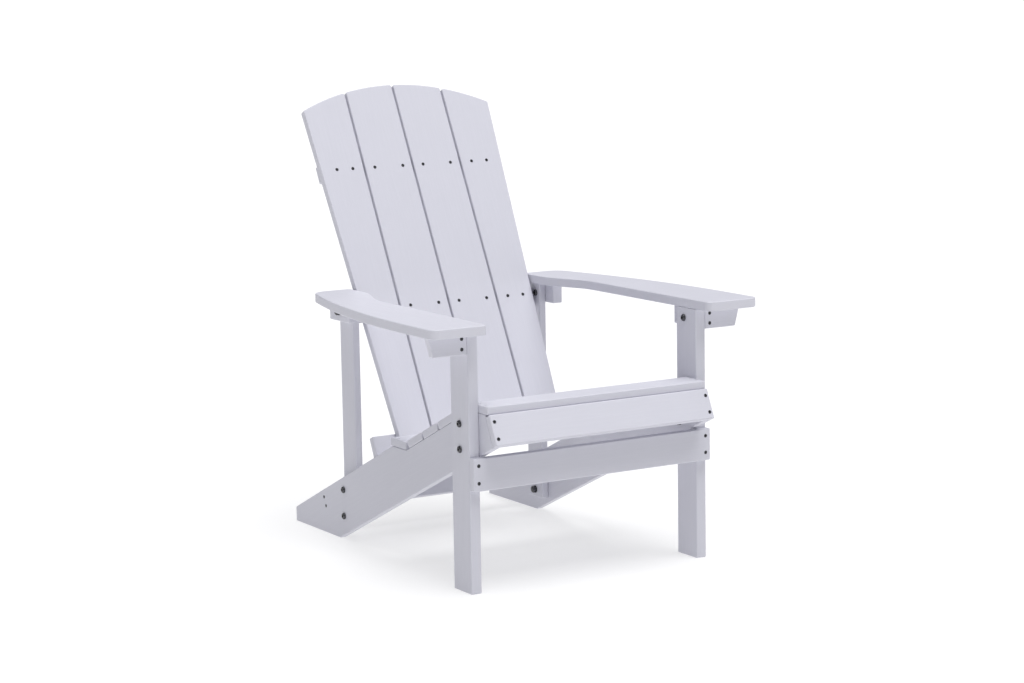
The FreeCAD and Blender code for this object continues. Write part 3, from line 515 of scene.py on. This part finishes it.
def make_board(node, outline=False):
    """Smooth-shaded board in the place of a node."""
    low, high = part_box(node)
    shape = merged(node)
    axes = board_axes(shape)
    title = title_of(node)
    mesh = plain_mesh(title, shape)
    place_board(mesh, axes, (low + high) / 2, sorted(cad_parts).index(node), outline)
    finish_board(soften(shown(title, mesh)), node)


# ---------------------------------------------------------------- repeated pieces

def set_out_tree():
    """Geometry tree: copies of a pattern on points, each turned by the point's own angles."""
    known = bpy.data.node_groups.get("Set Out")
    if known:
        return known
    tree = bpy.data.node_groups.new("Set Out", "GeometryNodeTree")
    for label, kind in (("Points", "NodeSocketGeometry"), ("Pattern", "NodeSocketObject"),
                        ("Finish", "NodeSocketMaterial"), ("Twist", "NodeSocketFloat"),
                        ("Drift", "NodeSocketVector"), ("Seed", "NodeSocketInt")):
        tree.interface.new_socket(label, in_out="INPUT", socket_type=kind)
    tree.interface.new_socket("Copies", in_out="OUTPUT", socket_type="NodeSocketGeometry")
    nodes = Nodes(tree)
    given = nodes.add("NodeGroupInput").outputs
    index = nodes.add("GeometryNodeInputIndex").outputs[0]
    pattern = nodes.add("GeometryNodeObjectInfo", {"Object": given["Pattern"]}).outputs["Geometry"]
    turn = nodes.add("GeometryNodeInputNamedAttribute", {"Name": "turn"},
                     data_type="FLOAT_VECTOR").outputs[0]
    chance = nodes.add("FunctionNodeRandomValue", {"ID": index, "Seed": given["Seed"]},
                       data_type="FLOAT").outputs[1]
    angle = nodes.maths("MULTIPLY", chance, given["Twist"])
    spin = nodes.add("FunctionNodeEulerToRotation", {
        0: nodes.add("ShaderNodeCombineXYZ", {2: angle}).outputs[0]}).outputs[0]
    aim = nodes.add("FunctionNodeEulerToRotation", {0: turn}).outputs[0]
    both = nodes.add("FunctionNodeRotateRotation", {0: aim, 1: spin}, rotation_space="LOCAL")
    copies = nodes.add("GeometryNodeInstanceOnPoints", {
        "Points": given["Points"], "Instance": pattern, "Rotation": both.outputs[0]}).outputs[0]
    shift = nodes.add("ShaderNodeVectorMath", {0: given["Drift"], "Scale": index},
                      operation="SCALE").outputs[0]
    copies = nodes.add("GeometryNodeStoreNamedAttribute", {
        "Geometry": copies, "Name": "shift", "Value": shift}, data_type="FLOAT_VECTOR",
        domain="INSTANCE").outputs[0]
    solid = nodes.add("GeometryNodeRealizeInstances", {0: copies}).outputs[0]
    own = nodes.add("GeometryNodeInputNamedAttribute", {"Name": "place"},
                    data_type="FLOAT_VECTOR").outputs[0]
    moved = nodes.add("GeometryNodeInputNamedAttribute", {"Name": "shift"},
                      data_type="FLOAT_VECTOR").outputs[0]
    total = nodes.add("ShaderNodeVectorMath", {0: own, 1: moved}, operation="ADD").outputs[0]
    solid = nodes.add("GeometryNodeStoreNamedAttribute", {
        "Geometry": solid, "Name": "place", "Value": total}, data_type="FLOAT_VECTOR",
        domain="POINT").outputs[0]
    for spent in ("turn", "shift"):
        solid = nodes.add("GeometryNodeRemoveAttribute", {"Geometry": solid,
                                                          "Name": spent}).outputs[0]
    painted = nodes.add("GeometryNodeSetMaterial", {"Geometry": solid,
                                                    "Material": given["Finish"]}).outputs[0]
    nodes.add("NodeGroupOutput", {"Copies": painted})
    return tree


def set_out(name, pattern, sites, finish, twist=0.0, drift=(0.0, 0.0, 0.0)):
    """One mesh with a copy of the pattern at each site, a point and a turn."""
    points = bpy.data.meshes.new(name + "_Points")
    points.from_pydata([place[:] for place, _ in sites], [], [])
    turns = np.array([turn.to_euler("XYZ")[:] for _, turn in sites], np.float32)
    points.attributes.new("turn", "FLOAT_VECTOR", "POINT").data.foreach_set("vector",
                                                                            turns.ravel())
    piece = shown(name, points)
    tree = set_out_tree()
    modifier = piece.modifiers.new("Set Out", "NODES")
    modifier.node_group = tree
    wishes = {"Pattern": pattern, "Finish": finish, "Twist": twist, "Drift": drift, "Seed": SEED}
    for item in tree.interface.items_tree:
        if item.in_out == "INPUT" and item.name in wishes:
            modifier[item.identifier] = wishes[item.name]
    baked(piece)
    bpy.data.objects.remove(pattern)
    return piece


def store_place(mesh):
    """Store each point's own coordinates, for patterns that turn with the piece."""
    points = np.empty(len(mesh.vertices) * 3, np.float32)
    mesh.vertices.foreach_get("co", points)
    mesh.attributes.new("place", "FLOAT_VECTOR", "POINT").data.foreach_set("vector", points)


def set_out_slats(name, nodes, finish):
    """Like slats, made from the first one's shape and laid where each node lies."""
    sites = []
    for node in nodes:
        low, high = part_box(node)
        shape = merged(node)
        axes = board_axes(shape)
        up = axes[2] if axes[2].z > 0 else -axes[2]
        across = Vector((1, 0, 0))
        turn = Matrix((across, up.cross(across), up)).transposed()
        sites.append(((low + high) / 2, turn))
        shape.free()
    centre, turn = sites[0]
    shape = merged(nodes[0])
    bmesh.ops.transform(shape, verts=shape.verts,
                        matrix=turn.inverted().to_4x4() @ Matrix.Translation(-centre))
    mesh = plain_mesh(name + "_Pattern", shape)
    place_board(mesh, (Vector((1, 0, 0)), Vector((0, 1, 0)), Vector((0, 0, 1))), Vector(),
                SLAT_GRAIN, outline=False)
    piece = set_out(name, shown(name + "_Pattern", mesh), sites, finish, drift=GRAIN_STEP)
    finish_board(soften(piece), *nodes)


# ---------------------------------------------------------------- turned patterns

def loop_points(sides, radius, height, limit=None):
    """Ring of points, round where sides is 0, else a polygon with that half width."""
    points = []
    for step in range(SIDES):
        angle = 2 * math.pi * step / SIDES
        reach = radius
        if sides:
            part = math.pi / sides
            reach = radius / math.cos((angle % (2 * part)) - part)
        if limit is not None:
            reach = min(reach, limit)
        points.append((reach * math.cos(angle), reach * math.sin(angle), height))
    return points


def turned(name, loops, closed=False):
    """Object skinned over rings of points, capped at both ends or closed on itself."""
    shape = bmesh.new()
    rings = [[shape.verts.new(point) for point in loop_points(*loop)] for loop in loops]
    pairs = list(zip(rings, rings[1:])) + ([(rings[-1], rings[0])] if closed else [])
    for near, far in pairs:
        for step in range(SIDES):
            follow = (step + 1) % SIDES
            shape.faces.new((near[step], near[follow], far[follow], far[step]))
    if not closed:
        shape.faces.new(rings[0])
        shape.faces.new(reversed(rings[-1]))
    bmesh.ops.recalc_face_normals(shape, faces=shape.faces)
    if shape.calc_volume(signed=True) < 0:
        bmesh.ops.reverse_faces(shape, faces=shape.faces)
    mesh = plain_mesh(name, shape)
    mesh.set_sharp_from_angle(angle=CREASE)
    store_place(mesh)
    return shown(name, mesh)


def screw_pattern(name, site):
    """Flat countersunk screw with a square recess; Z runs from its head into the wood."""
    wish = settings().screws
    head, shank, drive = wish.head, wish.shank, wish.drive
    root, pitch, plain = 0.72 * shank, 2.6 * MM, 2 * MM
    recess, ease, cone = 1.35 * MM, 0.3 * MM, 0.8 * MM
    neck = cone + head - shank
    loops = [(4, 0.75 * drive, recess + 0.1 * MM), (4, 0.94 * drive, recess),
             (4, drive, 0.2 * MM), (4, 1.1 * drive, 0.0), (0, head - ease, 0.0),
             (0, head - 0.08 * MM, 0.08 * MM), (0, head, ease), (0, head, cone), (0, shank, neck)]
    tip = site.length - 2 * shank
    turns = int((tip - neck - plain) / pitch)
    start = tip - turns * pitch
    for turn in range(turns):
        base = start + turn * pitch
        loops += [(0, root, base), (0, root, base + 0.6 * pitch), (0, shank, base + 0.8 * pitch)]
    loops += [(0, root, tip), (0, 0.3 * MM, site.length)]
    return turned(name, loops)


def bolt_pattern(name, site):
    """Button-head bolt with a hexagon socket and a threaded end; Z runs from its head's top."""
    wish = settings().bolts
    head, rise, shank, key = wish.head, wish.rise, wish.shank, wish.key
    dome, floor, steps = 0.7 * rise, 0.65 * rise, 8
    turns, lead = 10, 0.8 * MM
    loops = [(6, 0.5 * key, floor + 0.5 * MM), (6, key, floor), (6, key, 0.3 * MM),
             (6, 1.08 * key, 0.0), (0, head - dome, 0.0)]
    for step in range(1, steps + 1):
        angle = math.pi / 2 * step / steps
        loops.append((0, head - dome + dome * math.sin(angle), dome * (1 - math.cos(angle))))
    loops += [(0, head, rise - 0.25 * MM), (0, head - 0.25 * MM, rise), (0, shank + 0.3 * MM, rise),
              (0, shank, rise + 0.3 * MM)]
    start = site.length - lead - turns * wish.pitch
    for turn in range(turns):
        base = start + turn * wish.pitch
        loops += [(0, shank, base), (0, 0.86 * shank, base + 0.5 * wish.pitch)]
    loops += [(0, shank, site.length - lead), (0, 0.8 * shank, site.length)]
    return turned(name, loops)


def washer_pattern(name, site):
    """Flat washer with eased rims."""
    bore, ease = settings().bolts.bore, 0.2 * MM
    thick, radius = site.length, site.radius
    return turned(name, [(0, bore, ease), (0, bore + ease, 0.0), (0, radius - ease, 0.0),
                         (0, radius, ease), (0, radius, thick - ease), (0, radius - ease, thick),
                         (0, bore + ease, thick), (0, bore, thick - ease)], closed=True)


def nut_pattern(name, site):
    """Hexagon nut, chamfered on its outer face, with a threaded bore."""
    wish = settings().bolts
    flats, bore, thick = wish.flats, wish.bore, site.length
    lead, margin, depth = 0.4 * MM, 0.6 * MM, 0.35 * MM
    chamfer, trim, steps = 0.9 * MM, 1.4 * MM, 3
    corner = flats * 2 / math.sqrt(3)
    loops = [(0, bore + lead, 0.0), (6, flats, 0.0), (6, flats, thick - chamfer)]
    for step in range(1, steps + 1):
        share = step / steps
        loops.append((6, flats, thick - chamfer * (1 - share), corner - trim * share))
    loops += [(0, bore + lead, thick), (0, bore, thick - lead)]
    turns = int((thick - 2 * margin) / wish.pitch)
    for turn in range(turns):
        base = thick - margin - turn * wish.pitch
        loops += [(0, bore, base), (0, bore + depth, base - 0.5 * wish.pitch)]
    loops.append((0, bore, lead))
    return turned(name, loops, closed=True)


# ---------------------------------------------------------------- fasteners

def islands(node):
    """Points and faces, with normals and areas, of each separate solid in a node."""
    shape = merged(node)
    waiting = set(shape.verts)
    found = []
    while waiting:
        front = [waiting.pop()]
        members = set(front)
        while front:
            for edge in front.pop().link_edges:
                for vert in edge.verts:
                    if vert in waiting:
                        waiting.remove(vert)
                        members.add(vert)
                        front.append(vert)
        faces = {face for vert in members for face in vert.link_faces}
        found.append((np.array([vert.co[:] for vert in members]),
                      np.array([face.normal[:] for face in faces]),
                      np.array([face.calc_area() for face in faces])))
    shape.free()
    return sorted(found, key=lambda island: tuple(np.round(island[0].mean(0), 4)))


def fastener_sites(node):
    """Site of each fastener in a node, with its wide end at the start."""
    sites = []
    for points, normals, areas in islands(node):
        values, vectors = np.linalg.eigh((normals * areas[:, None]).T @ normals)
        odd = int(np.argmax(np.abs(values - np.median(values))))
        axis = vectors[:, odd]
        centre = (points.min(0) + points.max(0)) / 2
        depth = (points - centre) @ axis
        radii = np.linalg.norm(points - centre - np.outer(depth, axis), axis=1)
        length = depth.max() - depth.min()
        near = radii[depth < depth.min() + 0.02 * length].max()
        far = radii[depth > depth.max() - 0.02 * length].max()
        if near < far:
            axis, depth = -axis, -depth
        start = centre + axis * depth.min()
        sites.append(Site(Vector(start), Vector(axis), float(length), float(radii.max())))
    return sites


def make_fasteners(node, pattern_maker, finish):
    """Detailed fasteners in the place of a node's plain ones."""
    sites = fastener_sites(node)
    title = title_of(node)
    pattern = pattern_maker(title + "_Pattern", sites[0])
    turns = [(site.start, site.axis.to_track_quat("Z", "Y").to_matrix()) for site in sites]
    piece = set_out(title, pattern, turns, finish, twist=2 * math.pi)
    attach(piece, BODY)
    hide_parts(node)


# ---------------------------------------------------------------- operators

class ArmchairOperator:
    """Runs its make method and reports success."""
    bl_options = {"REGISTER", "UNDO"}

    def execute(self, context):
        self.make()
        return {"FINISHED"}


class MakeStringers(ArmchairOperator, bpy.types.Operator):
    """Raked side planks that carry the seat and reach the ground behind"""
    bl_idname = "armchair.make_stringers"
    bl_label = "Make Stringers"

    def make(self):
        for side in ("right", "left"):
            make_board(f"{side}_stringer", outline=True)


class MakeLegs(ArmchairOperator, bpy.types.Operator):
    """Front legs and rear posts"""
    bl_idname = "armchair.make_legs"
    bl_label = "Make Legs and Posts"

    def make(self):
        for side in ("right", "left"):
            make_board(f"{side}_leg")
            make_board(f"{side}_post")


class MakeCrossBoards(ArmchairOperator, bpy.types.Operator):
    """Apron across the legs and stretcher between the stringers"""
    bl_idname = "armchair.make_cross_boards"
    bl_label = "Make Apron and Stretcher"

    def make(self):
        make_board("front_apron")
        make_board("rear_stretcher")


class MakeSeat(ArmchairOperator, bpy.types.Operator):
    """Nose slat, level and raked seat slats, and the rail behind them"""
    bl_idname = "armchair.make_seat"
    bl_label = "Make Seat"

    def make(self):
        slats = sorted(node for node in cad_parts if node.startswith("seat_slat_")
                       and not node.endswith("screws"))
        level = [slats[0], slats[-1]]
        set_out_slats("Level_Seat_Slats", level, board_material())
        set_out_slats("Raked_Seat_Slats", [node for node in slats if node not in level],
                      board_material())
        make_board("seat_nose_slat")
        make_board("seat_back_rail")


class MakeBack(ArmchairOperator, bpy.types.Operator):
    """Fan of four back slats and the rails behind them"""
    bl_idname = "armchair.make_back"
    bl_label = "Make Back"

    def make(self):
        for number in (1, 2, 3, 4):
            make_board(f"back_slat_{number}")
        make_board("upper_back_rail")
        make_board("lower_back_rail")


class MakeArms(ArmchairOperator, bpy.types.Operator):
    """Arms with the brackets and blocks that carry them"""
    bl_idname = "armchair.make_arms"
    bl_label = "Make Arms"

    def make(self):
        for side in ("right", "left"):
            make_board(f"{side}_arm", outline=True)
            for piece in ("arm_bracket", "front_arm_block", "rear_arm_block"):
                make_board(f"{side}_{piece}")


class MakeScrews(ArmchairOperator, bpy.types.Operator):
    """Countersunk screws of every board"""
    bl_idname = "armchair.make_screws"
    bl_label = "Make Screws"

    def make(self):
        for node in sorted(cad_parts):
            if node.endswith("_screws"):
                if node in WHITE_SCREWS:
                    make_fasteners(node, screw_pattern, white_screw_material())
                else:
                    make_fasteners(node, screw_pattern, screw_material())


class MakeBolts(ArmchairOperator, bpy.types.Operator):
    """Button-head bolts with their washers and nuts"""
    bl_idname = "armchair.make_bolts"
    bl_label = "Make Bolts"

    def make(self):
        makers = {"_bolts": bolt_pattern, "_washers": washer_pattern, "_nuts": nut_pattern}
        for node in sorted(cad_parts):
            for ending, maker in makers.items():
                if node.endswith(ending):
                    make_fasteners(node, maker, bolt_material())


class MakeStage(ArmchairOperator, bpy.types.Operator):
    """Pale floor, soft light and the camera"""
    bl_idname = "armchair.make_stage"
    bl_label = "Make Stage"

    def make(self):
        wish = settings().stage
        make_floor(wish)
        make_sky(wish)
        make_sun("Key Light", wish.key, wish.key_from, wish.softness)
        make_camera(wish)
        bpy.context.scene.view_settings.view_transform = "Standard"


def make_floor(wish):
    """Round pale floor under the chair."""
    shape = bmesh.new()
    bmesh.ops.create_circle(shape, cap_ends=True, segments=96, radius=wish.floor_radius)
    floor = shown("Floor", plain_mesh("Floor", shape))
    material = bpy.data.materials.new("Pale Floor")
    material.use_nodes = True
    shader = material.node_tree.nodes["Principled BSDF"]
    shader.inputs["Base Color"].default_value = (*wish.floor, 1.0)
    shader.inputs["Roughness"].default_value = 0.9
    shader.inputs["Specular IOR Level"].default_value = 0.1
    shader.inputs["Emission Color"].default_value = CLEAN_WHITE
    shader.inputs["Emission Strength"].default_value = wish.floor_glow
    floor.data.materials.append(material)


def make_sky(wish):
    """Even light all round, and a white background to look at."""
    world = bpy.data.worlds.new("Studio")
    world.use_nodes = True
    nodes = Nodes(world.node_tree)
    world.node_tree.nodes.clear()
    light = nodes.add("ShaderNodeBackground", {"Color": COOL_WHITE, "Strength": wish.sky})
    seen = nodes.add("ShaderNodeBackground", {"Color": CLEAN_WHITE, "Strength": 1.0})
    path = nodes.add("ShaderNodeLightPath")
    mix = nodes.add("ShaderNodeMixShader", {0: path.outputs["Is Camera Ray"],
                                            1: light.outputs[0], 2: seen.outputs[0]})
    nodes.add("ShaderNodeOutputWorld", {"Surface": mix.outputs[0]})
    bpy.context.scene.world = world


def make_sun(name, strength, direction, softness):
    """Broad soft light from a direction."""
    lamp = bpy.data.lights.new(name, "SUN")
    lamp.energy = strength
    lamp.angle = softness
    light = bpy.data.objects.new(name, lamp)
    light.rotation_euler = Vector(direction).to_track_quat("Z", "Y").to_euler()
    bpy.context.scene.collection.objects.link(light)


def make_camera(wish):
    """Camera placed from the front legs."""
    low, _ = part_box("right_leg")
    turn, rise, roll = wish.camera_turn
    lens = bpy.data.cameras.new("Camera")
    lens.lens = wish.lens
    lens.sensor_width = 36.0
    lens.shift_x, lens.shift_y = wish.camera_shift
    camera = bpy.data.objects.new("Camera", lens)
    look = Vector((math.sin(turn) * math.cos(rise), math.cos(turn) * math.cos(rise),
                   -math.sin(rise)))
    right = Vector((math.cos(turn), -math.sin(turn), 0.0))
    over = right.cross(look)
    rolled = Matrix((right, over, -look)).transposed() @ Matrix.Rotation(roll, 3, "Z")
    place = Vector(wish.camera_from_leg) + Vector((0.0, low.y, 0.0))
    camera.matrix_world = Matrix.Translation(place) @ rolled.to_4x4()
    bpy.context.scene.collection.objects.link(camera)
    bpy.context.scene.camera = camera


# ---------------------------------------------------------------- panel and registration

OPERATORS = (MakeStringers, MakeLegs, MakeCrossBoards, MakeSeat, MakeBack, MakeArms, MakeScrews,
             MakeBolts, MakeStage)


class ArmchairPanel(bpy.types.Panel):
    """Sizes, colours and steps of the armchair"""
    bl_idname = "VIEW3D_PT_armchair"
    bl_label = "Slatted Garden Armchair"
    bl_space_type = "VIEW_3D"
    bl_region_type = "UI"
    bl_category = "Armchair"

    def draw(self, context):
        for operator in OPERATORS:
            self.layout.operator(operator.bl_idname)
        wishes = context.scene.armchair
        for name in ("boards", "screws", "bolts", "stage"):
            box = self.layout.box()
            group = getattr(wishes, name)
            for prop in group.bl_rna.properties:
                if prop.identifier not in ("rna_type", "name"):
                    box.prop(group, prop.identifier)


CLASSES = (BoardSettings, ScrewSettings, BoltSettings, StageSettings, ArmchairSettings,
           *OPERATORS, ArmchairPanel)


def register():
    """Register the classes and keep the settings on the scene."""
    for item in CLASSES:
        bpy.utils.register_class(item)
    bpy.types.Scene.armchair = bpy.props.PointerProperty(type=ArmchairSettings)


def unregister():
    """Undo register."""
    del bpy.types.Scene.armchair
    for item in reversed(CLASSES):
        bpy.utils.unregister_class(item)


def main():
    """Make every piece and the stage."""
    register()
    for operator in OPERATORS:
        group, name = operator.bl_idname.split(".")
        getattr(getattr(bpy.ops, group), name)()


if __name__ == "__main__":
    main()
